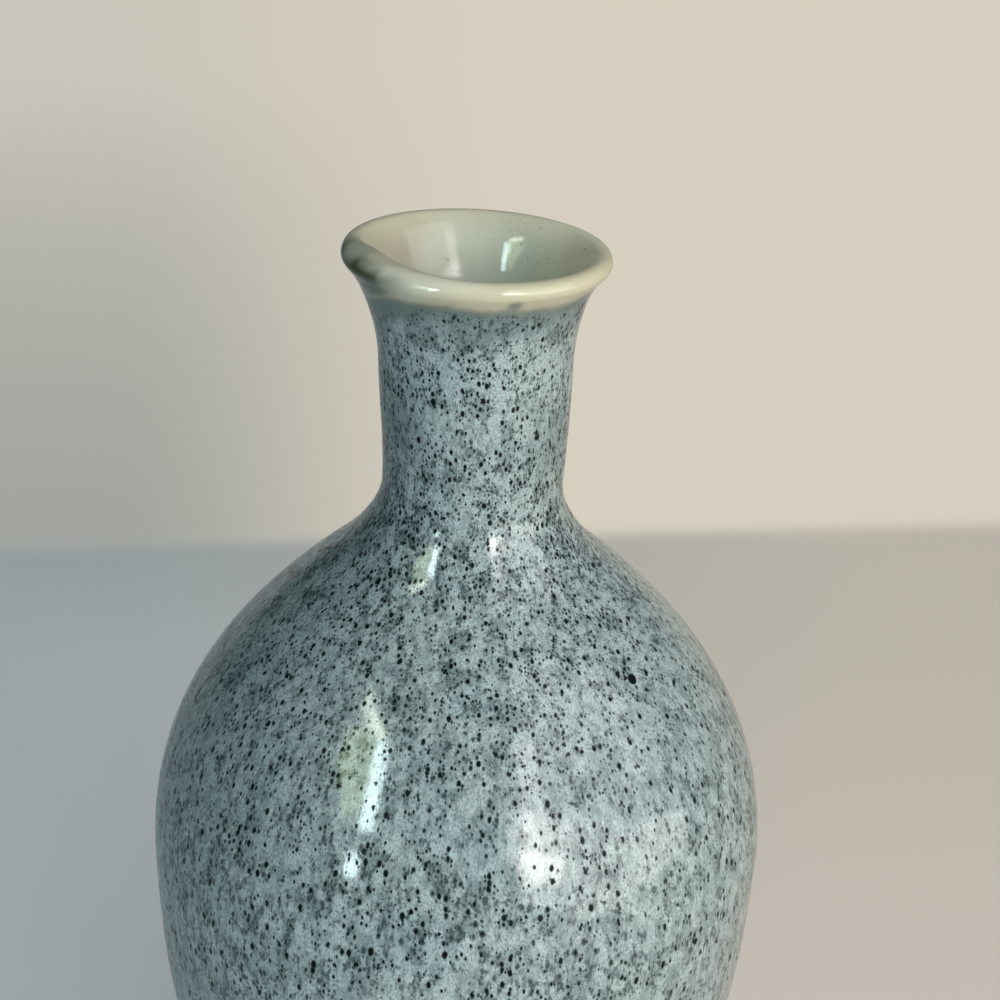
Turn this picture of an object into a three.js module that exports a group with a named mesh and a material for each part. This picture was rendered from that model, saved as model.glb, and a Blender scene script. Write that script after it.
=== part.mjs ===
// A hand-thrown bud vase in stoneware: five clay pieces luted together under three coats of glaze.
// Millimetres, +Z up, origin at the centre of the face that the foot stands on.
import * as THREE from "three";

// Heights of the sections, stacked from the table up to the crest of the lip
const FOOT_HEIGHT = 5;
const BOWL_HEIGHT = 69;
const DOME_HEIGHT = 65.7;
const NECK_HEIGHT = 20.3;
const MOUTH_HEIGHT = 18;

// Radii of the finished outer surface
const FOOT_RADIUS = 33;
const BASE_RADIUS = 35;
const BELLY_RADIUS = 52.2;
const NECK_ROOT_RADIUS = 14.35;
const NECK_TOP_RADIUS = 14.95;
const LIP_RADIUS = 20.2;

// Thicknesses of the finished wall, glaze included
const FLOOR_THICKNESS = 6.5;
const BELLY_WALL = 4.2;
const SHOULDER_WALL = 4;
const NECK_WALL = 3.4;
const LIP_THICKNESS = 3;
const FOOT_WIDTH = 6.5;
const FOOT_CHAMFER = 0.8;

// Where the shoulder's curve turns into the root of the neck, measured from the neck's lower end
const ROOT_REACH = 8.8;
const ROOT_DROP = 14.3;

// Directions of the outline, in degrees above the horizontal
const BASE_SLOPE = 57;
const SHOULDER_SLOPE = 40.7;
const FLARE_SLOPE = 44;

// How far each curve holds its direction at its lower and upper end, as shares of its chord
const BOWL_PULL = [0.36, 0.42];
const FLOOR_PULL = [0.53, 0.61];
const SHOULDER_PULL = [0.37, 0.375];
const ROOT_PULL = [0.3, 0.3];
const NECK_PULL = [0.33, 0.33];
const FLARE_PULL = [0.31, 0.25];

// Glaze and the joints between the clay pieces
const GLAZE = 0.45;
const BOND_GAP = 0.1;
const COAT_GAP = 0.15;
const BARE_BAND = 5;
const KEY_HEIGHT = 1.2;
const KEY_SHARE = 1 / 3;
const SLIP_GAP = 0.15;

// Unevenness that the hand left: a neck that sways one way and the mouth the other, a lip that tilts,
// and a fold that thickens the lip's inside. The fold rises and falls between angles round the axis, in
// degrees, and sets in between two angles over the roll of the lip.
const NECK_SWAY = 0.4;
const NECK_SWAY_RISE = 6;
const NECK_SWAY_SPREAD = 9;
const MOUTH_SWAY = 0.4;
const MOUTH_SWAY_DROP = 5.5;
const MOUTH_SWAY_SPREAD = 4;
const LIP_TILT = 0.8;
const FOLD_RISE = [166, 210];
const FOLD_FALL = [210, 275];
const FOLD_TURN = [30, 150];
const FOLD_SWELL = 2.4;
const FOLD_PUFF = 0.2;
const FOLD_REACH = 5;

// Facets round the axis, and steps along each curve of the outline
const TURN_FACETS = 36;
const BOWL_STEPS = 7;
const SHOULDER_STEPS = 6;
const ROOT_STEPS = 4;
const NECK_STEPS = 2;
const FLARE_STEPS = 4;
const ROLL_STEPS = 6;

// Levels that follow from the stacked heights
const BELLY_Z = FOOT_HEIGHT + BOWL_HEIGHT;
const NECK_Z = BELLY_Z + DOME_HEIGHT;
const MOUTH_Z = NECK_Z + NECK_HEIGHT;
const CREST_Z = MOUTH_Z + MOUTH_HEIGHT;
const ROLL_RADIUS = LIP_THICKNESS / 2;
const NECK_SWAY_Z = NECK_Z + NECK_SWAY_RISE;
const MOUTH_SWAY_Z = CREST_Z - MOUTH_SWAY_DROP;

const radians = THREE.MathUtils.degToRad;
const point = (r, z) => new THREE.Vector2(r, z);
const heading = (degrees) => point(Math.cos(radians(degrees)), Math.sin(radians(degrees)));
const UP = heading(90);

// Materials, coloured as the fired surfaces look

function ceramic(color, roughness) {
  return new THREE.MeshStandardMaterial({ color, roughness, metalness: 0 });
}

const bareClay = ceramic(0xb9a88f, 0.85);
const speckledGlaze = ceramic(0x8fa1a5, 0.16);
const creamGlaze = ceramic(0xd9d0b4, 0.14);
const linerGlaze = ceramic(0xc9cdc2, 0.15);

// The outline of the section: up the outside, over the lip and down the inside

// A curve that leaves one place along one direction and arrives at another place along another.
function sweep(from, leaving, to, arriving, [startPull, endPull]) {
  const chord = from.distanceTo(to);
  const first = from.clone().addScaledVector(leaving, startPull * chord);
  const last = to.clone().addScaledVector(arriving, -endPull * chord);
  return new THREE.CubicBezierCurve(from, first, last, to);
}

// The direction of a swept curve at a share t of its length.
function course({ v0, v1, v2, v3 }, t) {
  const start = v1.clone().sub(v0).multiplyScalar((1 - t) ** 2);
  const middle = v2.clone().sub(v1).multiplyScalar(2 * t * (1 - t));
  const end = v3.clone().sub(v2).multiplyScalar(t ** 2);
  return start.add(middle).add(end).normalize();
}

// A station on a swept curve: its place on the surface, the direction into the clay on its left, and how
// far it takes part in the fold of the lip.
function station(curve, t) {
  const along = course(curve, t);
  return { place: curve.getPoint(t), into: point(-along.y, along.x), fold: 0 };
}

// Stations in even steps up a swept curve, from a share of it onwards.
function climb(curve, steps, from = 0) {
  const list = [];
  for (let i = 0; i <= steps; i++) list.push(station(curve, from + ((1 - from) * i) / steps));
  return list;
}

// The same stations down a curve, where the clay lies on the other side.
function descend(curve, steps) {
  return climb(curve, steps)
    .map(({ place, into, fold }) => ({ place, into: into.negate(), fold }))
    .reverse();
}

const rollCentre = point(LIP_RADIUS - ROLL_RADIUS, CREST_Z - ROLL_RADIUS);
const leaning = heading(180 - SHOULDER_SLOPE);
const flaring = heading(FLARE_SLOPE);

// Stations over the roll of the lip, half a turn from the outside of the flare to its inside, with both
// ends kept back by a gap.
function lipRoll(gap) {
  const back = THREE.MathUtils.radToDeg(gap / ROLL_RADIUS);
  const list = [];
  for (let i = 0; i <= ROLL_STEPS; i++) {
    const turn = back + ((180 - 2 * back) * i) / ROLL_STEPS;
    const into = heading(FLARE_SLOPE + 90 + turn);
    const fold = THREE.MathUtils.smoothstep(turn, ...FOLD_TURN);
    list.push({ place: rollCentre.clone().addScaledVector(into, -ROLL_RADIUS), into, fold });
  }
  return list;
}
const overLip = lipRoll(0);

// One face of the wall above the belly, set back from the finished outer surface by the given depths.
function wallFace(bellyDepth, shoulderDepth, neckDepth, lipEdge) {
  const belly = point(BELLY_RADIUS - bellyDepth, BELLY_Z);
  const shoulder = point(NECK_ROOT_RADIUS + ROOT_REACH, NECK_Z - ROOT_DROP);
  shoulder.addScaledVector(point(-leaning.y, leaning.x), shoulderDepth);
  const neckRoot = point(NECK_ROOT_RADIUS - neckDepth, NECK_Z);
  const neckTop = point(NECK_TOP_RADIUS - neckDepth, MOUTH_Z);
  return {
    shoulder: sweep(belly, UP, shoulder, leaning, SHOULDER_PULL),
    root: sweep(shoulder, leaning, neckRoot, UP, ROOT_PULL),
    neck: sweep(neckRoot, UP, neckTop, UP, NECK_PULL),
    flare: sweep(neckTop, UP, lipEdge, flaring, FLARE_PULL),
  };
}

const outer = wallFace(0, 0, 0, overLip[0].place);
const inner = wallFace(BELLY_WALL, SHOULDER_WALL, NECK_WALL, overLip.at(-1).place);
outer.bowl = sweep(
  point(BASE_RADIUS, FOOT_HEIGHT),
  heading(BASE_SLOPE),
  point(BELLY_RADIUS, BELLY_Z),
  UP,
  BOWL_PULL,
);
inner.bowl = sweep(
  point(0, FOOT_HEIGHT + FLOOR_THICKNESS),
  heading(0),
  point(BELLY_RADIUS - BELLY_WALL, BELLY_Z),
  UP,
  FLOOR_PULL,
);

const STEPS = {
  bowl: BOWL_STEPS,
  shoulder: SHOULDER_STEPS,
  root: ROOT_STEPS,
  neck: NECK_STEPS,
  flare: FLARE_STEPS,
};

// Stations of named stretches in one chain, without repeating the places where two stretches meet.
function chain(...lists) {
  return lists.flatMap((list, i) => (i ? list.slice(1) : list));
}
const outside = (...names) => chain(...names.map((name) => climb(outer[name], STEPS[name])));
const inside = (...names) => chain(...names.map((name) => foldedInside(name)));

// A stretch of the inside; the fold of the lip fades out down the flare.
function foldedInside(name) {
  const list = descend(inner[name], STEPS[name]);
  if (name !== "flare") return list;
  return list.map((entry, i) => ({ ...entry, fold: 1 - THREE.MathUtils.smoothstep(i, 0, FLARE_STEPS) }));
}

// The share of the bowl's curve at which the outside reaches the band of bare clay over the foot.
function glazeLine() {
  let low = 0;
  let high = 1;
  while (high - low > 1e-6) {
    const middle = (low + high) / 2;
    if (outer.bowl.getPoint(middle).y < FOOT_HEIGHT + BARE_BAND) low = middle;
    else high = middle;
  }
  return low;
}

// The glazed part of the bowl's outside, with the steps that clay and glaze share.
const glazedBowl = climb(outer.bowl, BOWL_STEPS, glazeLine());

// A chain moved into the clay by a depth.
function face(list, depth) {
  return list.map(({ place, into, fold }) => {
    const moved = place.clone().addScaledVector(into, depth);
    return Object.assign(moved, { fold });
  });
}
const CLAY_DEPTH = GLAZE + BOND_GAP;
const clay = (list) => face(list, CLAY_DEPTH);

// Turning a section round the axis

// How strongly the fold in the lip shows at a place round the axis, from 0 to 1.
function foldAt(x, y) {
  const angle = THREE.MathUtils.euclideanModulo(THREE.MathUtils.radToDeg(Math.atan2(y, x)), 360);
  const risen = THREE.MathUtils.smoothstep(angle, ...FOLD_RISE);
  return risen * (1 - THREE.MathUtils.smoothstep(angle, ...FOLD_FALL));
}

// A hump of height 1 at a level, which fades out over a spread above and below it.
function hump(z, level, spread) {
  return Math.exp(-(((z - level) / spread) ** 2) / 2);
}

// Moves a place on the true turned form to where the hand left it; the fold is the share that its station
// takes in the swelling of the lip's inside.
function uneven(place, fold) {
  const around = Math.hypot(place.x, place.y);
  const strength = foldAt(place.x, place.y);
  const fromRoll = point(around, place.z).sub(rollCentre);
  const near = 1 - THREE.MathUtils.smoothstep(fromRoll.length(), ROLL_RADIUS, FOLD_REACH);
  const puff = (FOLD_PUFF / ROLL_RADIUS) * strength * near;
  const grown = around + fromRoll.x * puff - FOLD_SWELL * strength * fold;
  const scale = around > 0 ? grown / around : 1;
  const neckSway = NECK_SWAY * hump(place.z, NECK_SWAY_Z, NECK_SWAY_SPREAD);
  const mouthSway = MOUTH_SWAY * hump(place.z, MOUTH_SWAY_Z, MOUTH_SWAY_SPREAD);
  const lipShare = THREE.MathUtils.smoothstep(place.z, MOUTH_Z, CREST_Z);
  const tilt = Math.tan(radians(LIP_TILT)) * place.x * lipShare;
  return new THREE.Vector3(
    place.x * scale + neckSway - mouthSway,
    place.y * scale,
    place.z + fromRoll.y * puff - tilt,
  );
}

// A closed section turned round the axis. The section runs counter-clockwise, with the radius to the right.
function turned(section) {
  const loop = section[0].x > 0 ? [...section, section[0]] : section;
  const geometry = new THREE.LatheGeometry(loop, TURN_FACETS).rotateX(Math.PI / 2);
  const places = geometry.getAttribute("position");
  const place = new THREE.Vector3();
  for (let i = 0; i < places.count; i++) {
    const fold = loop[i % loop.length].fold ?? 0;
    place.fromBufferAttribute(places, i);
    places.setXYZ(i, ...uneven(place, fold).toArray());
  }
  return geometry;
}

// A seam across the wall at one level, from the outside in: the tongue of the piece below, or with
// a clearance for slip the groove of the piece above.
function seam(outerRadius, innerRadius, z, clearance) {
  const middle = (outerRadius + innerRadius) / 2;
  const half = ((outerRadius - innerRadius) * KEY_SHARE) / 2 + clearance;
  const top = z + KEY_HEIGHT + clearance;
  return [
    point(middle + half, z),
    point(middle + half, top),
    point(middle - half, top),
    point(middle - half, z),
  ];
}
const seamBetween = (above, below, clearance) => seam(above.x, below.x, above.y, clearance);

// The clay pieces

// A ring of bare clay that the vase stands on, with a tongue that keys it to the underside.
function footRing() {
  const within = FOOT_RADIUS - FOOT_WIDTH;
  return turned([
    point(within + FOOT_CHAMFER, 0),
    point(FOOT_RADIUS - FOOT_CHAMFER, 0),
    point(FOOT_RADIUS, FOOT_CHAMFER),
    point(FOOT_RADIUS, FOOT_HEIGHT),
    ...seam(FOOT_RADIUS, within, FOOT_HEIGHT, 0),
    point(within, FOOT_HEIGHT),
    point(within, FOOT_CHAMFER),
  ]);
}

// The lower half of the body with its floor, thrown as an open bowl.
function bellyBowl() {
  const up = clay(glazedBowl);
  const down = clay(inside("bowl"));
  const edge = point(clay([station(outer.bowl, 0)])[0].x, FOOT_HEIGHT);
  const groove = seam(FOOT_RADIUS, FOOT_RADIUS - FOOT_WIDTH, FOOT_HEIGHT, SLIP_GAP).reverse();
  const floor = point(0, FOOT_HEIGHT + FLOOR_THICKNESS - CLAY_DEPTH);
  return turned([
    point(0, FOOT_HEIGHT),
    ...groove,
    edge,
    ...up,
    ...seamBetween(up.at(-1), down[0], 0),
    ...down.slice(0, -1),
    floor,
  ]);
}

// A tube of clay over named stretches of the wall, which sits on the seam of the piece below and carries
// the seam of the piece above.
function seatedTube(...names) {
  const up = clay(outside(...names));
  const down = clay(inside(...names.toReversed()));
  return turned([
    ...up,
    ...seamBetween(up.at(-1), down[0], 0),
    ...down,
    ...seamBetween(up[0], down.at(-1), SLIP_GAP).reverse(),
  ]);
}

// The mouth: a flared collar that ends in the rolled lip.
function flaredLip() {
  const up = clay(outside("flare"));
  const down = clay(inside("flare"));
  return turned([
    ...up,
    ...clay(overLip).slice(1, -1),
    ...down,
    ...seamBetween(up[0], down.at(-1), SLIP_GAP).reverse(),
  ]);
}

// The coats of glaze

// A coat of glaze over a chain of stations.
function coat(list) {
  const back = face(list, GLAZE).reverse();
  return turned([...face(list, 0), ...back]);
}

// The outside from the glaze line up to the roll of the lip.
function glazedOutside() {
  return chain(glazedBowl, outside("shoulder", "root", "neck", "flare"));
}

// The vase

const vase = new THREE.Group();

function add(name, geometry, material) {
  const mesh = new THREE.Mesh(geometry, material);
  mesh.name = name;
  vase.add(mesh);
}

add("foot_ring", footRing(), bareClay);
add("belly_bowl", bellyBowl(), bareClay);
add("shoulder_dome", seatedTube("shoulder", "root"), bareClay);
add("neck_tube", seatedTube("neck"), bareClay);
add("flared_lip", flaredLip(), bareClay);
add("outer_glaze", coat(glazedOutside()), speckledGlaze);
add("lip_glaze", coat(lipRoll(COAT_GAP)), creamGlaze);
add("liner_glaze", coat(inside("flare", "neck", "root", "shoulder", "bowl")), linerGlaze);

export default vase;
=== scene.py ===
# %% [markdown]
# # A speckled bud vase
# The vase is one fired pot: clay pieces luted together under three coats of glaze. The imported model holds
# those pieces in metres, with the foot's standing face at the origin and +Z up. This lesson dresses it with
# finely turned surfaces and glazes, and never moves what was packed.

# %% Load the frame
import math

import bpy
import numpy as np
from mathutils import Matrix, Vector


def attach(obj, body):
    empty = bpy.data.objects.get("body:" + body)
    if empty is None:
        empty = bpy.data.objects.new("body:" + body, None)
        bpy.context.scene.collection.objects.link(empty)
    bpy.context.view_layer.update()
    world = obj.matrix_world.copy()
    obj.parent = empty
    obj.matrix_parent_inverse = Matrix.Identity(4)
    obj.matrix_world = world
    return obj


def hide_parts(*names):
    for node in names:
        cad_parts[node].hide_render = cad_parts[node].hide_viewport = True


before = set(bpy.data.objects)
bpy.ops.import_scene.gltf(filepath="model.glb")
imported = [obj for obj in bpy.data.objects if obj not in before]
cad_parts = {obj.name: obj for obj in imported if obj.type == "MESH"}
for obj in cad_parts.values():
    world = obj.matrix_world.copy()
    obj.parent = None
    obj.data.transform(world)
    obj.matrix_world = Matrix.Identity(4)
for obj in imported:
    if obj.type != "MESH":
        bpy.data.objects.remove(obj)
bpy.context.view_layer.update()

# %% [markdown]
# ## The section of the pot
# A thrown pot is a turned form, so one half of its section says nearly everything. The section runs up the
# outside, over the lip and down the inside, as smooth curves that leave one place in one direction and
# arrive at the next in another. A Bezier curve with two named pulls does just that, and can be cut as finely
# as the light needs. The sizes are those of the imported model, in millimetres.

# %% Curves of the section
MM = 0.001


def heading(degrees):
    """The direction in the section at an angle from level."""
    return np.array([math.cos(math.radians(degrees)), math.sin(math.radians(degrees))])


UP = np.array([0.0, 1.0])


def smoothstep(x, low, high):
    """A share that goes from 0 at low to 1 at high with a smooth start and end."""
    t = np.clip((x - low) / (high - low), 0, 1)
    return t * t * (3 - 2 * t)


def sweep(start, leaving, end, arriving, pulls):
    """The four points of a Bezier curve; its two pulls are shares of the straight distance."""
    start, end = np.array(start, float), np.array(end, float)
    chord = np.linalg.norm(end - start)
    return start, start + leaving * pulls[0] * chord, end - arriving * pulls[1] * chord, end


def climb(curve, steps, begin=0.0):
    """Rows up a curve: radius, height, the direction into the clay on its left, and no share in the fold."""
    a, b, c, d = curve
    t = np.linspace(begin, 1, steps + 1)[:, None]
    places = (1 - t) ** 3 * a + 3 * (1 - t) ** 2 * t * b + 3 * (1 - t) * t**2 * c + t**3 * d
    along = (1 - t) ** 2 * (b - a) + 2 * t * (1 - t) * (c - b) + t**2 * (d - c)
    along /= np.linalg.norm(along, axis=1)[:, None]
    return np.column_stack([places, -along[:, 1], along[:, 0], np.zeros(steps + 1)])


def descend(curve, steps):
    """The rows of a curve from its top down, with the clay on the other side."""
    return climb(curve, steps)[::-1] * np.array([1, 1, -1, -1, 1])


def chain(*stretches):
    """Stretches of rows in one, without the rows that they share."""
    return np.concatenate([stretches[0]] + [rows[1:] for rows in stretches[1:]])


def face(rows, depth):
    """Radius, height and share in the fold of rows that are moved into the clay by a depth."""
    return np.column_stack([rows[:, 0:2] + rows[:, 2:4] * np.reshape(depth, (-1, 1)), rows[:, 4]])


# %% Levels and radii
# heights, radii and thicknesses in millimetres, slopes in degrees from level
FOOT_Z, BELLY_Z, NECK_Z, MOUTH_Z, CREST_Z = 5.0, 74.0, 139.7, 160.0, 178.0
FOOT_R, BASE_R, BELLY_R, NECK_R, NECK_TOP_R, LIP_R = 33.0, 35.0, 52.2, 14.35, 14.95, 20.2
FOOT_WIDTH = 6.5
BELLY_WALL, SHOULDER_WALL, NECK_WALL, FLOOR_WALL = 4.2, 4.0, 3.4, 6.5
LIP_ROLL = 1.5
GLAZE = 0.45
BOWL_SLOPE, SHOULDER_SLOPE, FLARE_SLOPE = 57, 40.7, 44
SHOULDER_FROM_NECK = np.array([8.8, -14.3])
leaning = heading(180 - SHOULDER_SLOPE)
flaring = heading(FLARE_SLOPE)
roll_centre = np.array([LIP_R - LIP_ROLL, CREST_Z - LIP_ROLL])


def over_lip(steps):
    """Rows half a turn over the roll, from the outside in, with a growing share in the fold."""
    turn = np.linspace(0, 180, steps + 1)
    into = np.array([heading(FLARE_SLOPE + 90 + degrees) for degrees in turn])
    return np.column_stack([roll_centre - LIP_ROLL * into, into, smoothstep(turn, 30, 150)])


def wall_face(belly_depth, shoulder_depth, neck_depth, lip_edge):
    """The curves of one face of the wall over the belly, at its own depth from the outside."""
    belly = (BELLY_R - belly_depth, BELLY_Z)
    shoulder = np.array([NECK_R, NECK_Z]) + SHOULDER_FROM_NECK
    shoulder += np.array([-leaning[1], leaning[0]]) * shoulder_depth
    neck_root = (NECK_R - neck_depth, NECK_Z)
    neck_top = (NECK_TOP_R - neck_depth, MOUTH_Z)
    return {
        "shoulder": sweep(belly, UP, shoulder, leaning, (0.37, 0.375)),
        "root": sweep(shoulder, leaning, neck_root, UP, (0.3, 0.3)),
        "neck": sweep(neck_root, UP, neck_top, UP, (0.33, 0.33)),
        "flare": sweep(neck_top, UP, lip_edge, flaring, (0.31, 0.25)),
    }


lip_edges = over_lip(1)
outer = wall_face(0, 0, 0, lip_edges[0, 0:2])
inner = wall_face(BELLY_WALL, SHOULDER_WALL, NECK_WALL, lip_edges[1, 0:2])
outer["bowl"] = sweep((BASE_R, FOOT_Z), heading(BOWL_SLOPE), (BELLY_R, BELLY_Z), UP, (0.36, 0.42))
inner_belly = (BELLY_R - BELLY_WALL, BELLY_Z)
inner["bowl"] = sweep((0, FOOT_Z + FLOOR_WALL), heading(0), inner_belly, UP, (0.53, 0.61))
print("Section curves:", ", ".join(outer), "on both faces of the wall")

# %% [markdown]
# ## What the hand left
# The neck sways a little, the mouth tilts, and on one side the lip is folded thicker over its inside. The
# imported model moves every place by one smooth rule, and the same rule is repeated here so that the fine
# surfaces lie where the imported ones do. On top of it the glazed outside carries faint rings from the
# potter's fingers.

# %% Unevenness of the turned form
FOLD_FROM, FOLD_FULL, FOLD_EASE, FOLD_END = 172, 206, 210, 275
FOLD_SWELL, FOLD_PUFF, FOLD_REACH = 2.4, 0.2, 5
LIP_TILT = math.tan(math.radians(0.8))
NECK_SWAY = 0.4
RING_PITCH, RING_CLIMB = 6.3, 2.2
RING_HEIGHT, SWELL_HEIGHT = 0.015, 0.04


def hump(z, level, spread):
    """A bell-shaped share, full at a level and mostly gone two spreads away."""
    return np.exp(-(((z - level) / spread) ** 2) / 2)


def uneven(points, fold):
    """Moves places of the true turned form, in millimetres, to where the hand left them."""
    x, y, z = points.T
    around = np.maximum(np.hypot(x, y), 1e-9)
    angle = np.degrees(np.arctan2(y, x)) % 360
    strength = smoothstep(angle, FOLD_FROM, FOLD_FULL) * (1 - smoothstep(angle, FOLD_EASE, FOLD_END))
    from_roll = np.stack([around, z]) - roll_centre[:, None]
    near = 1 - smoothstep(np.linalg.norm(from_roll, axis=0), LIP_ROLL, FOLD_REACH)
    puff = FOLD_PUFF / LIP_ROLL * strength * near
    scale = 1 + (from_roll[0] * puff - FOLD_SWELL * strength * fold) / around
    sway = NECK_SWAY * hump(z, NECK_Z + 6, 9) - NECK_SWAY * hump(z, CREST_Z - 5.5, 4)
    tilt = LIP_TILT * x * smoothstep(z, MOUTH_Z, CREST_Z)
    return np.stack([x * scale + sway, y * scale, z + from_roll[1] * puff - tilt], axis=1)


def finger_rings(z, angle):
    """Height of the faint throwing rings, in millimetres, at a level and an angle round the axis."""
    climbing = z + RING_CLIMB * angle / (2 * np.pi)
    rings = np.sin(2 * np.pi * climbing / RING_PITCH + 0.7 * np.sin(z / 17.0))
    slow = np.sin(2 * angle + z / 23.0) + 0.6 * np.sin(3 * angle - z / 31.0)
    return RING_HEIGHT * rings * (0.6 + 0.4 * np.sin(angle + z / 11.0)) + SWELL_HEIGHT * slow


print(f"The lip is folded {FOLD_SWELL} mm thicker, most of all at {FOLD_FULL} degrees round the axis")


# %% Turning a section into a mesh
FACETS = 224
SHARP_EDGE = math.radians(50)


def turned(name, section, relief=None):
    """A closed mesh from rows of radius, height and fold; relief is each row's share of the rings."""
    relief = np.zeros(len(section)) if relief is None else relief
    angles = np.arange(FACETS) / FACETS * 2 * np.pi
    rings, points, folds = [], [], []
    for (r, z, fold), share in zip(section, relief):
        spread = angles if r > 1e-6 else angles[:1]
        rings.append(list(range(len(points), len(points) + len(spread))))
        grown = r + share * finger_rings(z, spread)
        points += list(zip(grown * np.cos(spread), grown * np.sin(spread), np.full(len(spread), z)))
        folds += [fold] * len(spread)
    pairs = list(zip(rings, rings[1:]))
    if len(rings[0]) > 1:
        pairs.append((rings[-1], rings[0]))
    faces = []
    for low, high in pairs:
        for i in range(FACETS):
            j = (i + 1) % FACETS
            corners = (low[i % len(low)], low[j % len(low)], high[j % len(high)], high[i % len(high)])
            faces.append(tuple(dict.fromkeys(corners)))
    mesh = bpy.data.meshes.new(name)
    places = uneven(np.array(points), np.array(folds)) * MM
    mesh.from_pydata(places.tolist(), [], faces)
    mesh.shade_smooth()
    mesh.set_sharp_from_angle(angle=SHARP_EDGE)
    piece = bpy.data.objects.new(name, mesh)
    bpy.context.collection.objects.link(piece)
    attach(piece, "root")
    print(f"{name}: {len(mesh.vertices)} vertices, {len(mesh.polygons)} faces")
    return piece


# %% [markdown]
# ## The coats of glaze
# A coat is a thin closed shell: its face follows the section and its back lies a glaze thickness inside. The
# outer coat ends low on the belly in a soft bead, where melted glaze gathers before it stops. The lip's coat
# goes half a turn over the roll, and the liner runs from there down to the middle of the floor.

# %% Outer coat
BARE_BAND = 5
BEAD_HEIGHT, BEAD_LEVEL, BEAD_SPREAD = 0.28, 1.1, 0.64
EDGE_TUCK, EDGE_SPREAD = 0.3, 0.32


def glaze_start(steps=4000):
    """The share of the bowl's curve at which the glaze begins, a bare band over the foot."""
    fine = climb(outer["bowl"], steps)
    return np.argmax(fine[:, 1] >= FOOT_Z + BARE_BAND) / steps


def coat_section(rows, proud=0.0, back_every=4):
    """The face of a coat, standing proud where melted glaze gathered, then its back with fewer rows."""
    kept = sorted(set(range(0, len(rows), back_every)) | {len(rows) - 1})
    front = face(rows, -np.ones(len(rows)) * proud)
    return np.concatenate([front, face(rows, GLAZE)[kept][::-1]])


outside = chain(
    climb(outer["bowl"], 60, glaze_start()),
    climb(outer["shoulder"], 60),
    climb(outer["root"], 24),
    climb(outer["neck"], 24),
    climb(outer["flare"], 26),
)
level = outside[:, 1]
from_edge = level - level[0]
bead = BEAD_HEIGHT * hump(from_edge, BEAD_LEVEL, BEAD_SPREAD) - EDGE_TUCK * hump(from_edge, 0, EDGE_SPREAD)
section = coat_section(outside, bead)
relief = np.zeros(len(section))
relief[: len(outside)] = smoothstep(from_edge, 1, 8) * (1 - smoothstep(level, CREST_Z - 14, CREST_Z - 2))
speckled_coat = turned("speckled_coat", section, relief)
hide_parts("outer_glaze")

# %% Lip coat and liner
lip_coat = turned("lip_coat", coat_section(over_lip(36), back_every=3))
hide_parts("lip_glaze")

FLARE_STEPS = 26
inner_flare = descend(inner["flare"], FLARE_STEPS)
inner_flare[:, 4] = 1 - smoothstep(np.arange(FLARE_STEPS + 1), 0, FLARE_STEPS)
inside = chain(
    inner_flare,
    descend(inner["neck"], 16),
    descend(inner["root"], 20),
    descend(inner["shoulder"], 30),
    descend(inner["bowl"], 40),
)
inside[-1, 0] = 0
# the shell ends on the axis, so its section starts there on the back and ends there on the face
liner_face, liner_back = np.split(coat_section(inside), [len(inside)])
liner_back[0, 0] = 0
liner = turned("liner_coat", np.concatenate([liner_back, liner_face]))
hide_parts("liner_glaze")

# %% [markdown]
# ## Bare clay at the foot
# Under the glaze line a band of bare stoneware shows, then the turned foot ring and the flat underside within
# it. The ring's edges were softened with a wet finger, so they are rounded and not cut.

# %% Foot ring and bowl
def rounded(corner, before, after, radius, steps=6):
    """Rows on an arc-like bend that softens a corner of a section."""
    corner, before, after = (np.array(p, float) for p in (corner, before, after))
    a = corner + (before - corner) / np.linalg.norm(before - corner) * radius
    c = corner + (after - corner) / np.linalg.norm(after - corner) * radius
    t = np.linspace(0, 1, steps + 1)[:, None]
    return np.column_stack([(1 - t) ** 2 * a + 2 * t * (1 - t) * corner + t**2 * c, np.zeros(steps + 1)])


FOOT_LEAN = 0.3
STANDING_EDGE, HIDDEN_EDGE, BOWL_EDGE = 1.4, 0.15, 0.9
CLAY_GAP = 0.1
within = FOOT_R - FOOT_WIDTH
foot_corners = [(within, 0), (FOOT_R, 0), (FOOT_R - FOOT_LEAN, FOOT_Z), (within - FOOT_LEAN, FOOT_Z)]
foot_section = []
for i, softness in enumerate([STANDING_EDGE, STANDING_EDGE, HIDDEN_EDGE, HIDDEN_EDGE]):
    foot_section += list(rounded(foot_corners[i], foot_corners[i - 1], foot_corners[(i + 1) % 4], softness))
foot = turned("foot", foot_section)
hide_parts("foot_ring")

clay_depth = GLAZE + CLAY_GAP
bowl_outside = face(climb(outer["bowl"], 40), clay_depth)
bowl_inside = face(descend(inner["bowl"], 24), clay_depth)
bowl_inside[-1, 0] = 0
edge = rounded((bowl_outside[0, 0], FOOT_Z), (0, FOOT_Z), bowl_outside[3, 0:2], BOWL_EDGE)
underside = [(0, FOOT_Z, 0), (within, FOOT_Z, 0)]
bowl = turned("bowl", np.concatenate([underside, edge, bowl_outside[2:], bowl_inside]))
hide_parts("belly_bowl")

# %% [markdown]
# ## Shared effects of the finishes
# Iron in the clay bleeds through the glaze as dark specks. A cellular texture gives them: each cell has its
# own random value, which decides whether it holds a speck and how wide. The same group serves the glazes and
# the clay at other sizes. A second group gives cloudy mottling from noise, and a third the masks of the lip,
# where the glaze runs thin over the roll and turns to cream. A small class keeps the wiring short: it adds a
# node, feeds it sockets or plain values, and hands back its output.

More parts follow.
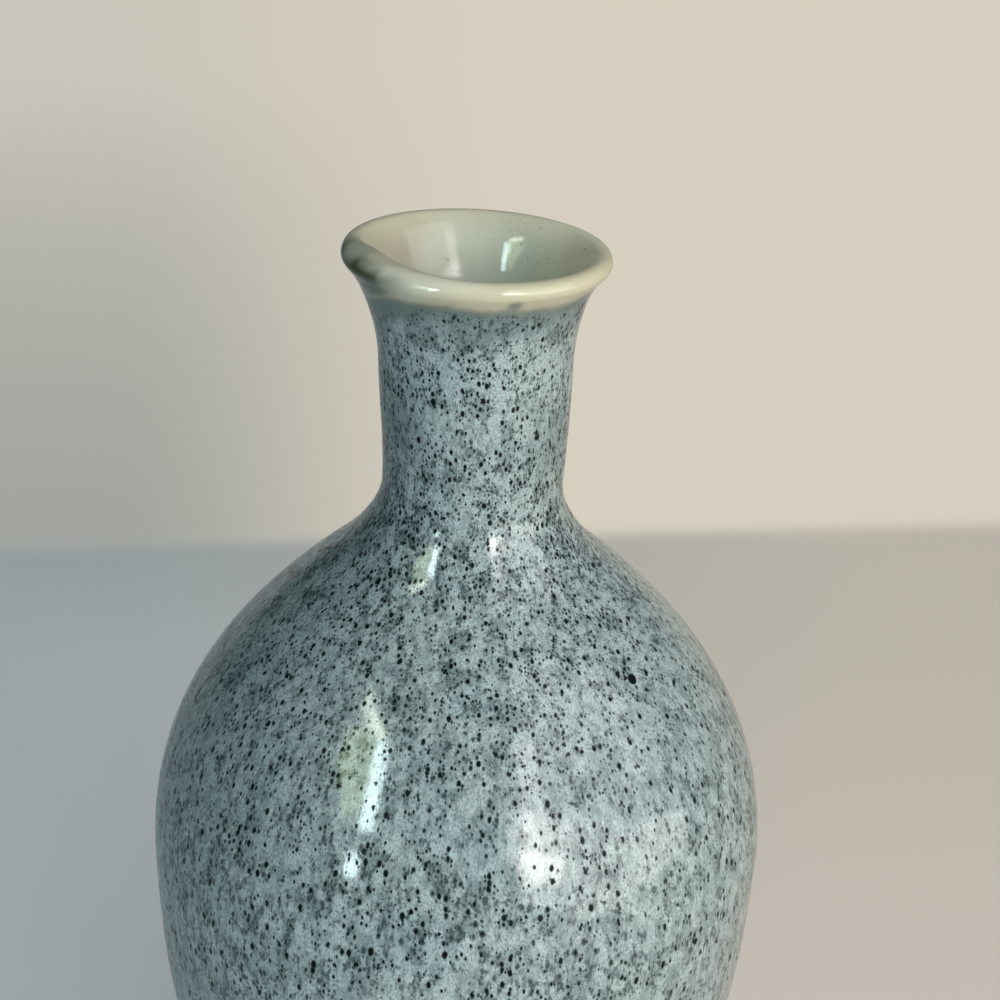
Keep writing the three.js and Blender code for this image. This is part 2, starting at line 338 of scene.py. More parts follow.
# %% Wiring
class Wiring:
    """Adds nodes to a tree and links sockets or plain values into them."""

    def __init__(self, tree):
        self.tree = tree

    def node(self, kind, **settings):
        node = self.tree.nodes.new("ShaderNode" + kind)
        for label, value in settings.items():
            setattr(node, label, value)
        return node

    def feed(self, socket, value):
        if isinstance(value, bpy.types.NodeSocket):
            self.tree.links.new(value, socket)
        else:
            socket.default_value = value

    def fill(self, node, values):
        for label, value in values.items():
            self.feed(node.inputs[label], value)
        return node

    def math(self, operation, *values):
        return self.fill(self.node("Math", operation=operation), dict(enumerate(values))).outputs[0]

    def times(self, *values):
        product = values[0]
        for value in values[1:]:
            product = self.math("MULTIPLY", product, value)
        return product

    def vector(self, operation, *values):
        return self.fill(self.node("VectorMath", operation=operation), dict(enumerate(values))).outputs[0]

    def scaled(self, vector, factor):
        return self.fill(self.node("VectorMath", operation="SCALE"), {0: vector, "Scale": factor}).outputs[0]

    def apart(self, first, second):
        node = self.fill(self.node("VectorMath", operation="DISTANCE"), {0: first, 1: second})
        return node.outputs["Value"]

    def parts(self, vector):
        return self.fill(self.node("SeparateXYZ"), {0: vector}).outputs

    def joined(self, x, y, z):
        return self.fill(self.node("CombineXYZ"), {0: x, 1: y, 2: z}).outputs[0]

    def span(self, value, low, high, to_low=0.0, to_high=1.0):
        """Follows a value from low to high, in either order, with a smooth start and end."""
        node = self.node("MapRange", interpolation_type="SMOOTHSTEP")
        ends = {"Value": value, "From Min": low, "From Max": high, "To Min": to_low, "To Max": to_high}
        return self.fill(node, ends).outputs["Result"]

    def noise(self, vector, scale, detail=3.0, rough=0.5):
        settings = {"Vector": vector, "Scale": scale, "Detail": detail, "Roughness": rough}
        return self.fill(self.node("TexNoise"), settings).outputs["Fac"]

    def mix(self, share, first, second):
        node = self.node("Mix", data_type="RGBA")
        return self.fill(node, {0: share, 6: first, 7: second}).outputs[2]

    def group(self, wiring, **values):
        node = self.node("Group", node_tree=wiring.tree)
        return self.fill(node, values).outputs


# %% Iron speck group
def new_group(name, inputs, outputs):
    """An empty shader node group with named sockets: its wiring, what comes in and what goes out."""
    group = bpy.data.node_groups.new(name, "ShaderNodeTree")
    for label, kind, value in inputs:
        socket = group.interface.new_socket(label, in_out="INPUT", socket_type=kind)
        if value is not None:
            socket.default_value = value
    for label in outputs:
        group.interface.new_socket(label, in_out="OUTPUT", socket_type="NodeSocketFloat")
    return Wiring(group), group.nodes.new("NodeGroupInput").outputs, group.nodes.new("NodeGroupOutput").inputs


iron_specks, come, go = new_group(
    "Iron specks",
    [
        ("Place", "NodeSocketVector", None),
        ("Cell", "NodeSocketFloat", 0.001),
        ("Fill", "NodeSocketFloat", 0.4),
        ("Width", "NodeSocketFloat", 0.36),
        ("Softness", "NodeSocketFloat", 0.12),
    ],
    ["Mask", "Shade", "Halo"],
)
w = iron_specks
in_cells = w.scaled(come["Place"], w.math("DIVIDE", 1.0, come["Cell"]))
shaking = w.fill(w.node("TexNoise"), {"Vector": in_cells, "Scale": 2.2, "Detail": 1.0}).outputs["Color"]
shaken = w.vector("ADD", in_cells, w.scaled(w.vector("SUBTRACT", shaking, (0.5, 0.5, 0.5)), 0.25))
cells = w.fill(w.node("TexVoronoi"), {"Vector": shaken, "Scale": 1.0}).outputs
chance, depth, _ = w.parts(cells["Color"])
held = w.math("DIVIDE", w.math("SUBTRACT", chance, w.math("SUBTRACT", 1.0, come["Fill"])), come["Fill"])
reach = w.times(w.math("POWER", w.math("MAXIMUM", held, 0.0), 0.5), come["Width"])
closeness = w.math("SUBTRACT", reach, cells["Distance"])
blur = w.times(come["Softness"], w.span(depth, 0.05, 0.5, 3.2, 1.0))
dot = w.span(closeness, w.times(blur, -0.4), blur)
present = w.math("GREATER_THAN", held, 0.0)
speck = w.times(dot, present)
w.feed(go["Mask"], speck)
w.feed(go["Shade"], w.times(speck, w.span(depth, 0.0, 0.6, 0.75, 1.0)))
w.feed(go["Halo"], w.times(w.span(closeness, -0.22, 0.12), present))
print("Group made:", iron_specks.tree.name)

# %% Mottle group
mottle, come, go = new_group(
    "Glaze mottle",
    [("Place", "NodeSocketVector", None), ("Patch", "NodeSocketFloat", 0.003)],
    ["Cloud", "Grain"],
)
w = mottle
finer = w.math("DIVIDE", 1.0, come["Patch"])
w.feed(go["Cloud"], w.noise(come["Place"], finer, 4.0, 0.6))
w.feed(go["Grain"], w.noise(come["Place"], w.times(finer, 7.0), 2.0, 0.55))
print("Group made:", mottle.tree.name)

# %% Lip group
lip_zone, come, go = new_group(
    "Lip zone", [("Place", "NodeSocketVector", None)], ["Cream", "Clear", "Crest"]
)
w = lip_zone
x, y, z = w.parts(come["Place"])
drift = w.times(w.math("SUBTRACT", w.noise(come["Place"], 170.0, 3.0, 0.55), 0.5), 0.0026)
level = w.math("ADD", w.math("ADD", z, w.times(x, LIP_TILT)), drift)
around = w.math("ADD", w.apart(w.joined(x, y, 0.0), (0.0, 0.0, 0.0)), drift)
tucked = w.span(x, -0.012, -0.017, 0.0, 0.0030)
w.feed(go["Cream"], w.span(w.math("ADD", level, tucked), 0.1722, 0.1762))
folded = w.span(x, -0.006, -0.016, 0.0, 0.0035)
w.feed(go["Clear"], w.span(w.math("ADD", level, folded), 0.1714, 0.1740))
w.feed(go["Crest"], w.span(around, 0.0190, 0.0174))
print("Group made:", lip_zone.tree.name)

# %% Material helpers
def new_material(name):
    """A material with a Principled shader: itself, its wiring, the shader and the place on the object."""
    material = bpy.data.materials.new(name)
    material.use_nodes = True
    tree = material.node_tree
    tree.nodes.clear()
    shader = tree.nodes.new("ShaderNodeBsdfPrincipled")
    output = tree.nodes.new("ShaderNodeOutputMaterial")
    tree.links.new(shader.outputs[0], output.inputs[0])
    shader.inputs["IOR"].default_value = 1.5
    place = tree.nodes.new("ShaderNodeTexCoord").outputs["Object"]
    return material, Wiring(tree), shader, place


def bump(w, height, depth):
    """Normal of a surface whose height, from 0 to 1, is worth a depth in metres."""
    return w.fill(w.node("Bump"), {"Strength": 1.0, "Distance": depth, "Height": height}).outputs[0]


def rgb(red, green, blue):
    """A colour written as it looks on screen, 0 to 255, in the linear values that shaders take."""
    values = [c / 255 for c in (red, green, blue)]
    return (*[c / 12.92 if c <= 0.04045 else ((c + 0.055) / 1.055) ** 2.4 for c in values], 1.0)


def near(w, place, centre, full, gone):
    """A mask that is full within one distance of a centre, in millimetres, and gone at another."""
    return w.span(w.apart(place, Vector(centre) * MM), gone * MM, full * MM)


# %% [markdown]
# ## The mouth
# Over the roll of the lip the glaze breaks to cream, turns ochre to the right, and is mossy on the left,
# where the fold is paler, partly as painted light. A painted highlight runs along the top, with painted shade
# on the fold's arch and a painted olive shadow under the fold, and the fall to the dark band below the lip is
# partly painted shade. The liner comes up over the crest to meet it; its rim is darkened as painted shade,
# and the sand on its right side is partly painted light. One colour ramp would put
# these tones in rings, so each is mixed in by its place across the mouth, shifted a little by noise, because
# glaze doesn't stop at a ruled line.

# %% Colours of the mouth
CREAM = rgb(216, 209, 180)
OCHRE = rgb(222, 211, 182)
TAWNY = rgb(176, 168, 148)
# pale glaze on the fold, lightened as painted light on its upward face
PALE_LIT_LIP = rgb(222, 220, 200)
# painted highlight: a lighter tone for the top of the lip
LIP_TOP_HIGHLIGHT = rgb(246, 242, 222)
MOSS = rgb(164, 168, 146)
# painted shade: a greyer tone on the arch of the fold
SHADED_FOLD_TONE = rgb(180, 182, 161)
# painted shade: an olive shadow under the fold on the left
OLIVE_SHADE = rgb(86, 88, 64)
# beige rim tone, darkened as painted shade
SHADED_RIM = rgb(212, 205, 180)
# dark band under the lip: partly the glaze's own tone, partly painted shade under its overhang
BAND = rgb(114, 126, 121)
LINER_MIDDLE = rgb(222, 220, 203)
BLUSH = rgb(204, 192, 172)
GREY_GREEN = rgb(216, 221, 201)
# sandy tone, partly the glaze's own and partly painted light on the right of the mouth
SAND = rgb(240, 233, 206)
# centre of the painted shade on the fold's arch, in millimetres
SHADED_FOLD_CENTRE = (-16.9, -5.2, 178.2)


def liner_tone(w, place, cloud):
    """Pale in the middle, with a blush on the left, grey-green and sand on the right and beige at the rim;
    the sand is partly painted light and the rim partly painted shade.
    """
    x, _, z = w.parts(place)
    across = w.math("ADD", x, w.times(w.math("SUBTRACT", cloud, 0.5), 0.012))
    colour = w.mix(w.span(across, -0.004, -0.012), LINER_MIDDLE, BLUSH)
    colour = w.mix(w.span(across, -0.001, 0.007), colour, GREY_GREEN)
    # partly painted light: sand lightens the right side of the inside, which faces away from the lamps
    colour = w.mix(w.span(across, 0.007, 0.015), colour, SAND)
    # the rim: beige darkened as painted shade, turning to lighter sand on the right as painted light
    rim = w.mix(w.span(across, 0.004, 0.013), SHADED_RIM, SAND)
    return w.mix(w.span(z, 0.1735, 0.1780, 0.0, 0.85), colour, rim)


def lip_colour(w, place, crest, cloud):
    """Cream in front, ochre to the right, paler on the left where the lip folds, partly as painted light, a
    painted highlight on top and painted shade on the fold's arch and under it; behind, the liner's tone.
    """
    x, y, z = w.parts(place)
    tint = w.times(w.math("SUBTRACT", w.noise(place, 150.0, 2.0, 0.5), 0.5), 0.004)
    across = w.math("ADD", x, tint)
    colour = w.mix(w.span(across, 0.010, 0.017), CREAM, OCHRE)
    # paler on the fold: partly the glaze's own tone, partly painted light on its upward face
    colour = w.mix(w.span(across, -0.003, -0.0110), colour, PALE_LIT_LIP)
    # painted highlight: the top of the lip is lighter, most of all on the left half of the mouth
    painted_top_light = w.times(w.span(z, 0.1760, 0.1778, 0.0, 0.7), w.span(across, 0.006, -0.006))
    colour = w.mix(painted_top_light, colour, LIP_TOP_HIGHLIGHT)
    colour = w.mix(w.span(across, -0.0120, -0.0155), colour, MOSS)
    # painted shade: olive under the fold on the left, where the fold shades the lip below it
    low = w.math("SUBTRACT", w.math("ADD", z, tint), w.span(x, -0.0170, -0.0192, 0.0, 0.0020))
    shade_under_fold = w.times(w.span(across, -0.0085, -0.0160), w.span(low, 0.1785, 0.1771))
    colour = w.mix(shade_under_fold, colour, OLIVE_SHADE)
    behind = w.span(w.math("ADD", y, tint), -0.004, 0.003)
    colour = w.mix(w.math("MAXIMUM", behind, crest), colour, liner_tone(w, place, cloud))
    # painted shade: a greyer patch round the arch of the fold
    return w.mix(near(w, place, SHADED_FOLD_CENTRE, 2.0, 4.8), colour, SHADED_FOLD_TONE)


print("Tones of the mouth: cream, ochre, moss and olive on the lip, blush, grey-green and sand inside")

# %% [markdown]
# ## The speckled glaze
# The outside is a glossy pale blue-grey glaze with black iron specks from dust to a millimetre wide. Its
# ground is grainy and cloudy, with smoky smudges, paler in a band round the upper neck as painted light, with
# painted shade on the neck's sides below it, and darker under the lip, partly as painted shade.
# The glaze ran while it was molten, so specks and clouds are drawn out downwards, most of all low on the
# belly: the pattern is laid out on a place whose height is drawn together. Where the clouds are dark the
# specks crowd. A speck is rough and mirrors little, so it stays dark where a highlight crosses it, and a fine
# ripple of the surface breaks up the highlight's edge.

# %% Speckled glaze: where the specks lie
PALE = rgb(194, 208, 209)
BLUISH = rgb(182, 199, 203)
CLOUDY = rgb(116, 132, 134)
SMOKE = rgb(58, 76, 78)
IRON = rgb(4, 12, 14)
LARGE_SPECK = (26.0, -20.45, 116.1)


def run_down(w, place):
    """The place drawn together downwards and outwards, less so towards the neck."""
    x, y, z = w.parts(place)
    around = w.math("SQRT", w.math("ADD", w.times(x, x), w.times(y, y)))
    outwards = w.math("POWER", w.math("DIVIDE", around, 0.035), -0.12)
    outwards = w.times(outwards, w.span(z, 0.138, 0.152, 1.0, 1.1), w.span(z, 0.110, 0.088, 1.0, 0.88))
    shoulder = w.times(w.math("MAXIMUM", w.math("SUBTRACT", z, 0.09), 0.0), 0.15)
    neck = w.times(w.math("MAXIMUM", w.math("SUBTRACT", z, 0.13), 0.0), 0.1)
    down = w.math("ADD", w.math("ADD", w.times(z, 0.52), shoulder), neck)
    return w.joined(w.times(x, outwards), w.times(y, outwards), down)


def crowding(w, place, cluster):
    """How thickly the specks lie: in clusters, more on the neck, in bands up it, and fewer to the right."""
    x, _, z = w.parts(place)
    wavy = w.math("ADD", w.times(z, 200.0), w.times(x, 30.0))
    bands = w.span(w.noise(w.joined(0.0, 0.0, wavy), 1.0, 2.0, 0.6), 0.35, 0.65, -0.2, 0.25)
    on_neck = w.times(w.span(z, 0.120, 0.142), w.math("ADD", bands, w.span(z, 0.152, 0.140, -0.2, 0.6)))
    by_height = w.span(z, 0.106, 0.124, 0.98, 1.3)
    fullness = w.times(w.math("ADD", by_height, on_neck), w.span(x, 0.014, 0.034, 1.0, 0.55))
    return w.times(fullness, w.span(cluster, 0.36, 0.64, 0.35, 1.7))


SPECKS = [
    # cell in metres, share of the cells that hold one, width and softness in cells, depth of colour, halo
    (0.0024, 0.28, 0.21, 0.05, 1.0, 0.5),
    (0.00090, 0.58, 0.44, 0.15, 1.0, 0.5),
    (0.00056, 0.54, 0.44, 0.24, 0.95, 0.3),
    (0.00032, 0.40, 0.45, 0.40, 0.6, 0.0),
]
print("Layers of specks, in cells of", [f"{row[0] / MM:.2f} mm" for row in SPECKS])

# %% Speckled glaze: ground and smudges
NECK_SHADOWS = ((-11.5, -8.8, 152.0), (12.5, -8.0, 150.0))


def clouded_ground(w, place, run, drawn, cluster):
    """The pale ground with its clouds and grain, clear in a band round the neck as painted light, with
    painted shade on the neck's sides, and dark under the lip, partly as painted shade.
    """
    _, _, z = w.parts(place)
    ground = w.mix(w.span(w.noise(place, 110.0, 2.0), 0.45, 0.7), PALE, BLUISH)
    # painted light: fewer clouds in a band round the upper neck make it paler
    fullness = w.math("SUBTRACT", 1.0, w.times(w.span(z, 0.157, 0.161), w.span(z, 0.168, 0.165), 0.9))
    cloudy = w.times(w.span(w.noise(drawn, 800.0, 3.0, 0.6), 0.42, 0.66, 0.0, 0.6), fullness)
    ground = w.mix(cloudy, ground, CLOUDY)
    ground = w.mix(w.times(w.span(cluster, 0.46, 0.72, 0.0, 0.6), fullness), ground, CLOUDY)
    # darker under the lip: partly smoky glaze, partly painted shade of the lip's overhang
    wavy = w.math("ADD", z, w.times(w.math("SUBTRACT", cluster, 0.5), 0.012))
    ground = w.mix(w.span(wavy, 0.1655, 0.1710, 0.0, 0.85), ground, CLOUDY)
    for centre in NECK_SHADOWS:
        ground = w.mix(w.times(near(w, place, centre, 1.0, 9.0), 0.55), ground, CLOUDY)
    grain = w.group(mottle, Place=run, Patch=0.0019)["Grain"]
    return w.mix(w.span(grain, 0.40, 0.64, 0.0, 0.6), ground, CLOUDY)


def smudges(w, place, run, drawn, crowd):
    """Smoky smudges, more where the specks crowd and low on the belly, broken up by fine streaks."""
    _, _, z = w.parts(place)
    low_down = w.span(z, 0.104, 0.088, 0.0, 0.04)
    smudged = w.math("ADD", w.noise(run, 760.0, 3.0, 0.65), w.math("ADD", w.times(crowd, 0.04), low_down))
    streaks = w.noise(drawn, 2100.0, 2.0, 0.6)
    return w.times(w.span(smudged, 0.56, 0.70), w.span(streaks, 0.36, 0.58, 0.2, 0.9))


def speckled_colour(w, place):
    """The speckled glaze: its ground colour and the strength of the specks on it."""
    run = run_down(w, place)
    drawn = w.vector("MULTIPLY", run, (1.0, 1.0, 0.7))
    cluster = w.noise(run, 330.0, 2.0, 0.6)
    crowd = crowding(w, place, cluster)
    ground = clouded_ground(w, place, run, drawn, cluster)
    smoke = smudges(w, place, run, drawn, crowd)
    specks = near(w, place, LARGE_SPECK, 0.72, 0.98)
    for cell, fill, width, softness, depth, halo in SPECKS:
        laid = w.times(crowd, fill)
        layer = w.group(iron_specks, Place=run, Cell=cell, Fill=laid, Width=width, Softness=softness)
        specks = w.math("MAXIMUM", specks, w.times(layer["Shade"], depth))
        smoke = w.math("MAXIMUM", smoke, w.times(layer["Halo"], halo))
    return w.mix(smoke, ground, SMOKE), specks


# %% Speckled glaze: gloss and break at the lip
RELIEF = 0.00001
GLAZE_IOR = 1.6
LIP_NOTCH = (5.4, -18.5, 174.8)


def speck_over(w, ground, specks):
    """Specks go from the ground through smoke to black as they get stronger."""
    greyed = w.mix(w.span(specks, 0.0, 0.6), ground, SMOKE)
    return w.mix(w.span(specks, 0.45, 0.95), greyed, IRON)


def gloss_relief(w, place, specks):
    """A fine ripple, a slow swell and shallow pits at the specks, in hundredths of a millimetre."""
    ripple = w.times(w.noise(place, 5000.0, 1.0), 0.5)
    swell = w.times(w.noise(place, 380.0, 1.0), 0.8)
    return w.math("SUBTRACT", w.math("ADD", ripple, swell), w.times(specks, 0.4))


def glaze_over_lip(name):
    """The speckled glaze with the cream break at the lip, shared by the outer coat and the lip's coat."""
    material, w, shader, place = new_material(name)
    zone = w.group(lip_zone, Place=place)
    clouds = w.group(mottle, Place=place, Patch=0.006)
    ground, strength = speckled_colour(w, place)
    specks = w.times(strength, w.math("SUBTRACT", 1.0, zone["Clear"]))
    # below the lip the ground turns to the dark band, partly as painted shade under the overhang
    below = speck_over(w, w.mix(w.times(zone["Clear"], 0.85), ground, BAND), specks)
    lip = lip_colour(w, place, zone["Crest"], clouds["Cloud"])
    notch = near(w, place, LIP_NOTCH, 0.2, 1.9)
    creamy = w.times(zone["Cream"], w.math("SUBTRACT", 1.0, w.times(notch, 0.6)))
    # the cream falls through tawny towards the band, partly as painted shade under the overhang
    lip = w.mix(w.span(creamy, 0.2, 0.95), TAWNY, lip)
    w.feed(shader.inputs["Base Color"], w.mix(w.span(creamy, 0.0, 0.6), below, lip))
    w.feed(shader.inputs["Metallic"], w.span(specks, 0.45, 0.85, 0.0, 0.8))
    w.feed(shader.inputs["Roughness"], w.span(specks, 0.3, 0.8, 0.035, 0.45))
    w.feed(shader.inputs["Normal"], bump(w, gloss_relief(w, place, specks), RELIEF))
    shader.inputs["IOR"].default_value = GLAZE_IOR
    return material


speckled_coat.data.materials.append(glaze_over_lip("speckled_glaze"))
lip_coat.data.materials.append(glaze_over_lip("cream_glaze"))
print("Glazed:", speckled_coat.name, "and", lip_coat.name)

# %% [markdown]
# ## The liner
# The inside is a paler, thinner glaze over the same clay: grey-green on one side with a warm blush on the
# other and a few fine specks. It takes its tones from the mouth, so the two meet without a seam.

# %% Liner glaze
FAINT_IRON = rgb(96, 98, 88)


def liner_glaze():
    """The liner's tones under fine dust and a few faint specks."""
    material, w, shader, place = new_material("liner_glaze")
    clouds = w.group(mottle, Place=place, Patch=0.006)
    colour = liner_tone(w, place, clouds["Cloud"])
    colour = w.mix(w.times(w.span(clouds["Grain"], 0.45, 0.75), 0.25), colour, GREY_GREEN)
    x, _, _ = w.parts(place)
    dust = w.group(iron_specks, Place=place, Cell=0.00045, Fill=0.45, Width=0.34, Softness=0.25)
    specks = w.group(iron_specks, Place=place, Cell=0.0016, Fill=0.16, Width=0.2, Softness=0.08)
    dusty = w.times(dust["Shade"], w.span(x, -0.004, 0.008, 0.2, 0.6))
    strength = w.math("MAXIMUM", dusty, w.times(specks["Shade"], 0.6))
    w.feed(shader.inputs["Base Color"], w.mix(strength, colour, FAINT_IRON))
    w.feed(shader.inputs["Roughness"], w.span(clouds["Cloud"], 0.3, 0.7, 0.04, 0.08))
    w.feed(shader.inputs["Normal"], bump(w, gloss_relief(w, place, strength), RELIEF))
    return material


liner.data.materials.append(liner_glaze())
print("Glazed:", liner.name)

# %% [markdown]
# ## The bare clay
# The clay is unglazed at the foot, a warm buff stoneware with sand and iron in it. Sand and iron are the
# speck group again, at larger sizes, and the grain roughens the surface. The hidden pieces of the wall are
# the same clay.

# %% Bare clay
BUFF, BROWN_BUFF = rgb(196, 176, 148), rgb(170, 146, 116)
PALE_SAND, RUSTY_IRON = rgb(214, 200, 176), rgb(74, 54, 42)
CLAY_RELIEF = 0.00008


def bare_clay():
    """Buff clay with pale sand and rusty iron, rough all over."""
    material, w, shader, place = new_material("bare_clay")
    clouds = w.group(mottle, Place=place, Patch=0.012)
    sand = w.group(iron_specks, Place=place, Cell=0.0012, Fill=0.4, Width=0.3, Softness=0.15)
    iron = w.group(iron_specks, Place=place, Cell=0.003, Fill=0.4, Width=0.16, Softness=0.05)
    ground = w.mix(w.span(clouds["Cloud"], 0.3, 0.7), BUFF, BROWN_BUFF)
    ground = w.mix(w.times(sand["Mask"], 0.4), ground, PALE_SAND)
    ground = w.mix(iron["Mask"], ground, RUSTY_IRON)
    w.feed(shader.inputs["Base Color"], ground)
    w.feed(shader.inputs["Roughness"], w.span(clouds["Grain"], 0.3, 0.7, 0.72, 0.92))
    rough = w.math("ADD", clouds["Grain"], w.times(sand["Mask"], 0.5))
    w.feed(shader.inputs["Normal"], bump(w, rough, CLAY_RELIEF))
    return material


clay = bare_clay()
for piece in (foot, bowl):
    piece.data.materials.append(clay)
for node in ("shoulder_dome", "neck_tube", "flared_lip"):
    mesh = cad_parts[node].data
    mesh.materials.clear()
    mesh.materials.append(clay)
print("Clay on the foot, the bowl and the hidden pieces of the wall")

# %% [markdown]
# ## The table
# The pot stands on a pale table, cool on the left and warm on the right, and past a soft edge behind it the
# floor takes the tone of a warm wall, shaded on the left. The wall's tone and half of the table's are a glow
# that only the camera and reflections see, so they add no light to the pot. The other half is a plain surface
# that takes the pot's shadow.

# %% Floor
TABLE_END, WALL_START, TABLE_END_SLOPE = 0.241, 0.262, 0.1354
TABLE_GLOW, MIRRORED_GLOW = 0.5, 0.4
FLOOR_HALF = 4
TABLE_COOL, TABLE_WARM = rgb(196, 206, 212), rgb(226, 214, 200)
GLOW_LEFT, GLOW_FAR_LEFT, GLOW_LEFT_END = rgb(182, 189, 190), rgb(176, 184, 191), rgb(167, 174, 174)
GLOW_RIGHT, GLOW_RIGHT_END = rgb(220, 208, 200), rgb(208, 200, 188)
WALL, WALL_SHADE = rgb(214, 207, 191), rgb(154, 158, 153)
WALL_SHADE_TOP, WALL_SHADE_FAR = rgb(202, 198, 187), rgb(140, 145, 141)


def floor_material():
    """The table near the pot and the wall past its end, half or wholly a glow."""
    material, w, shader, place = new_material("pale_floor")
    x, y, _ = w.parts(place)
    aside = w.math("DIVIDE", x, w.math("ADD", w.math("ABSOLUTE", y), 0.25))
    across = w.span(aside, -0.3, 0.3)
    w.feed(shader.inputs["Base Color"], w.mix(across, TABLE_COOL, TABLE_WARM))
    shader.inputs["Roughness"].default_value = 0.6
    left = w.mix(w.span(x, -0.08, -0.22), GLOW_LEFT, GLOW_FAR_LEFT)
    left = w.mix(w.span(y, 0.16, 0.24), left, GLOW_LEFT_END)
    right = w.mix(w.span(y, 0.0, 0.2), GLOW_RIGHT, GLOW_RIGHT_END)
    table = w.mix(across, left, right)
    wall_side = w.mix(w.span(y, -0.02, 1.1), WALL_SHADE, WALL_SHADE_TOP)
    wall_side = w.mix(w.span(aside, -0.45, -0.8), wall_side, WALL_SHADE_FAR)
    wall = w.mix(w.span(aside, -0.24, 0.03), wall_side, WALL)
    behind = w.math("SUBTRACT", y, w.times(x, TABLE_END_SLOPE))
    beyond = w.span(behind, TABLE_END, WALL_START)
    glow = w.fill(w.node("Emission"), {"Color": w.mix(beyond, table, wall)})
    seen = w.node("LightPath").outputs
    rays = w.math("MAXIMUM", seen["Is Camera Ray"], w.times(seen["Is Glossy Ray"], MIRRORED_GLOW))
    rays = w.math("MAXIMUM", rays, seen["Is Transmission Ray"])
    share = w.times(rays, w.span(beyond, 0.0, 1.0, TABLE_GLOW, 1.0))
    both = w.fill(w.node("MixShader"), {0: share, 1: shader.outputs[0], 2: glow.outputs[0]})
    output = next(node for node in material.node_tree.nodes if node.type == "OUTPUT_MATERIAL")
    w.feed(output.inputs[0], both.outputs[0])
    return material


floor_mesh = bpy.data.meshes.new("floor")
floor_corners = [(FLOOR_HALF * x, FLOOR_HALF * y, 0) for x, y in ((-1, -1), (1, -1), (1, 1), (-1, 1))]
floor_mesh.from_pydata(floor_corners, [], [(0, 1, 2, 3)])
floor = bpy.data.objects.new("floor", floor_mesh)
bpy.context.collection.objects.link(floor)
floor_mesh.materials.append(floor_material())
print("Floor:", 2 * FLOOR_HALF, "m across")

# %% [markdown]
# ## The light
# A glossy glaze mirrors its lamps, so each lamp does one job. Soft panels light the pot and don't show in
# the glaze: a warm one on the right, a cool one in front, a small one above and one behind for the far side.
# Other panels only show in the glaze, and their sizes and leans draw the highlights: a pale veil with a
# bright core on the right, and a tall window with a leafy view on the left. A faint sky fills the rest.
# Behind it all the camera sees a plain pale backdrop.

# %% Lamp panels
TARGET = Vector((0, 0, 0.1))


def panel(
    name, azimuth, elevation, right, up, width, height, radiance, colour=(1, 1, 1), lean=0.0, distance=0.8
):
    """A flat light on a plane that faces the pot, moved right and up on it and leaned, of one radiance."""
    a, e = math.radians(azimuth), math.radians(elevation)
    out = Vector((math.sin(a) * math.cos(e), -math.cos(a) * math.cos(e), math.sin(e)))
    side = Vector((math.cos(a), math.sin(a), 0))
    rise = out.cross(side)
    turn = Matrix((side, rise, out)).transposed().to_4x4()
    data = bpy.data.lights.new(name, "AREA")
    data.shape, data.size, data.size_y = "RECTANGLE", width, height
    data.color = colour
    data.energy = math.pi * width * height * radiance
    lamp = bpy.data.objects.new(name, data)
    spot = TARGET + out * distance + side * right + rise * up
    lamp.matrix_world = Matrix.Translation(spot) @ turn @ Matrix.Rotation(math.radians(-lean), 4, "Z")
    lamp.visible_camera = False
    bpy.context.collection.objects.link(lamp)
    return lamp


def soft(*values, **settings):
    """A panel that lights the pot and doesn't show in the glaze."""
    panel(*values, **settings).visible_glossy = False


def reflected(*values, **settings):
    """A panel that shows in the glaze and adds no other light."""
    panel(*values, **settings).visible_diffuse = False


# %% Lamps
WARM, COOL, LEAFY = (1.0, 0.98, 0.95), (0.74, 0.97, 1.0), (0.78, 1.0, 0.58)
# name, azimuth and elevation in degrees, then place to the right and up, width, height, radiance and colour
soft("right_fill", 38, 10, 0.0, 0.0, 1.1, 0.5, 4.0, (1.0, 0.89, 0.79), distance=1.2)
soft("front_fill", 9, 22, 0.0, 0.0, 1.0, 0.8, 2.15, (0.65, 0.92, 1.0), distance=1.2)
soft("top_fill", 60, 65, 0.0, 0.0, 0.6, 0.6, 2.0, (1.0, 0.97, 0.92))
soft("back_fill", 180, 9, 0.0, 0.0, 1.0, 0.8, 1.9, (0.88, 1.0, 1.0), distance=1.2)
reflected("right_wall", 120, 12, 0.0, 0.0, 1.3, 0.9, 0.1, (1.0, 0.95, 0.88), distance=1.0)
reflected("right_panel", 55, 20, 0.080, 0.243, 0.80, 0.52, 1.6, WARM, lean=24)
reflected("right_low", 55, 20, 0.024, -0.252, 1.10, 0.43, 2.9, WARM, lean=24)
reflected("right_edge", 55, 20, -0.330, 0.137, 0.16, 0.60, 2.3, WARM, lean=24, distance=0.79)
reflected("right_glow", 55, 20, -0.340, 0.020, 0.36, 0.25, 2.6, WARM, lean=28, distance=0.78)
reflected("right_core", 55, 20, -0.352, -0.062, 0.25, 0.12, 3.7, WARM, lean=28, distance=0.77)
reflected("window_side", -45, 30, 0.094, 0.037, 0.080, 0.29, 12.5, COOL, lean=-15)
reflected("window_top", -45, 30, -0.064, 0.216, 0.045, 0.21, 9.0, (0.9, 1.0, 0.85), lean=-80)
reflected("window_low", -45, 30, 0.122, -0.288, 0.075, 0.09, 13.0, COOL)
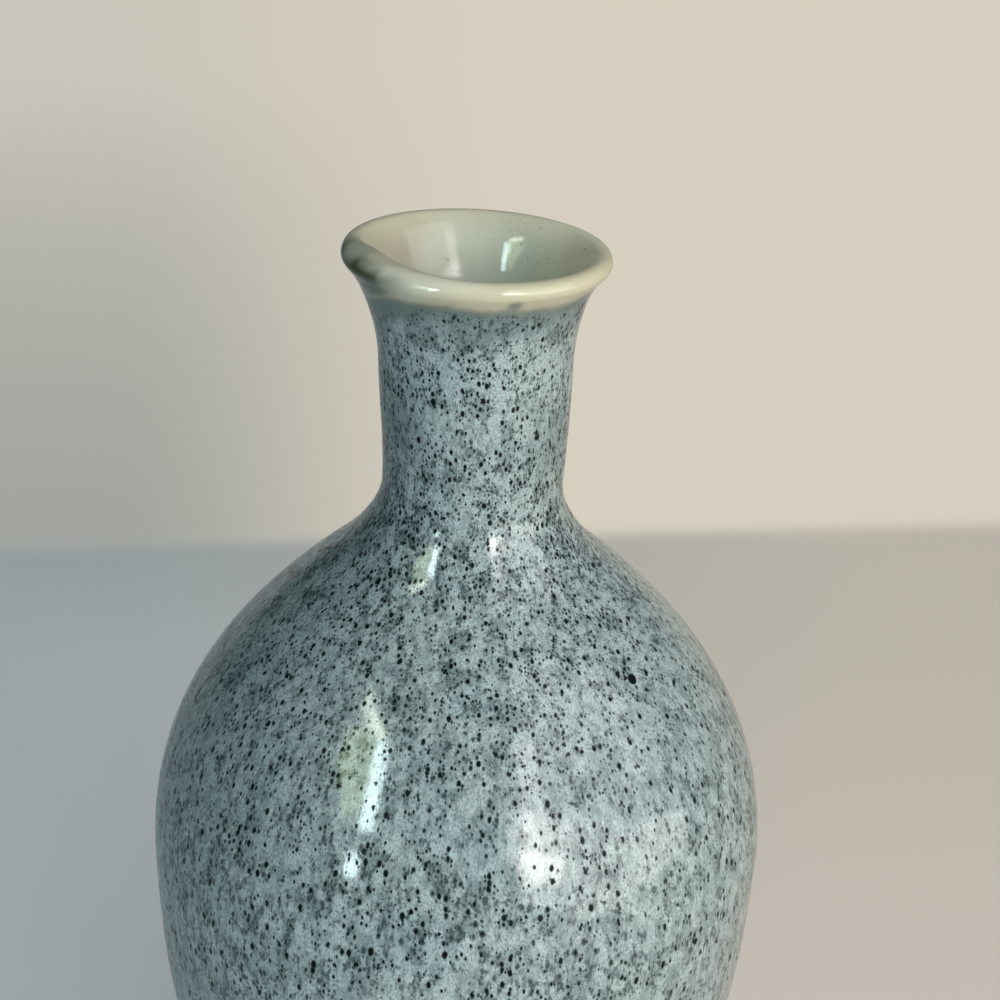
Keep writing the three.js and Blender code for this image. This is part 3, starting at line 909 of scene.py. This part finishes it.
reflected("window_view", -45, 30, -0.020, 0.060, 0.20, 0.30, 3.2, LEAFY, lean=-38, distance=0.81)

# %% Sky and backdrop
SKY, SKY_STRENGTH = (0.5, 0.92, 1.0, 1.0), 0.05
BACKDROP, MIRRORED_BACKDROP = rgb(206, 203, 194), 0.1
world = bpy.data.worlds.new("even_sky")
bpy.context.scene.world = world
world.use_nodes = True
w = Wiring(world.node_tree)
sky = w.fill(world.node_tree.nodes["Background"], {"Color": SKY, "Strength": SKY_STRENGTH})
backdrop = w.fill(w.node("Background"), {"Color": BACKDROP, "Strength": 1.0})
seen = w.node("LightPath").outputs
rays = w.math("MAXIMUM", seen["Is Camera Ray"], seen["Is Transmission Ray"])
rays = w.math("MAXIMUM", rays, w.times(seen["Is Glossy Ray"], MIRRORED_BACKDROP))
both = w.fill(w.node("MixShader"), {0: rays, 1: sky.outputs[0], 2: backdrop.outputs[0]})
w.feed(world.node_tree.nodes["World Output"].inputs["Surface"], both.outputs[0])
bpy.context.scene.view_settings.view_transform = "Standard"
print("World:", world.name)

# %% [markdown]
# ## The camera
# The camera looks down on the shoulder as in the photograph, which shows no foot. Its place, its turns and
# its lens were fitted to the pot's outline there.

# %% Camera
CAMERA_PLACE = (0, -0.230184, 0.246883)
SENSOR, FOCAL = 36, 36 * 1.6
pitch, yaw, roll = 0.449, 0.021, 0.047
ahead = Vector((math.sin(yaw) * math.cos(pitch), math.cos(yaw) * math.cos(pitch), -math.sin(pitch)))
level = Vector((math.cos(yaw), -math.sin(yaw), 0))
rise = level.cross(ahead)
side = level * math.cos(roll) + rise * math.sin(roll)
top = rise * math.cos(roll) - level * math.sin(roll)
lens = bpy.data.cameras.new("camera")
lens.sensor_width = SENSOR
lens.lens = FOCAL
lens.clip_start = 0.01
camera = bpy.data.objects.new("camera", lens)
turn = Matrix((side, top, -ahead)).transposed().to_4x4()
camera.matrix_world = Matrix.Translation(CAMERA_PLACE) @ turn
bpy.context.collection.objects.link(camera)
bpy.context.scene.camera = camera
print("Camera at", [round(v, 4) for v in camera.location])
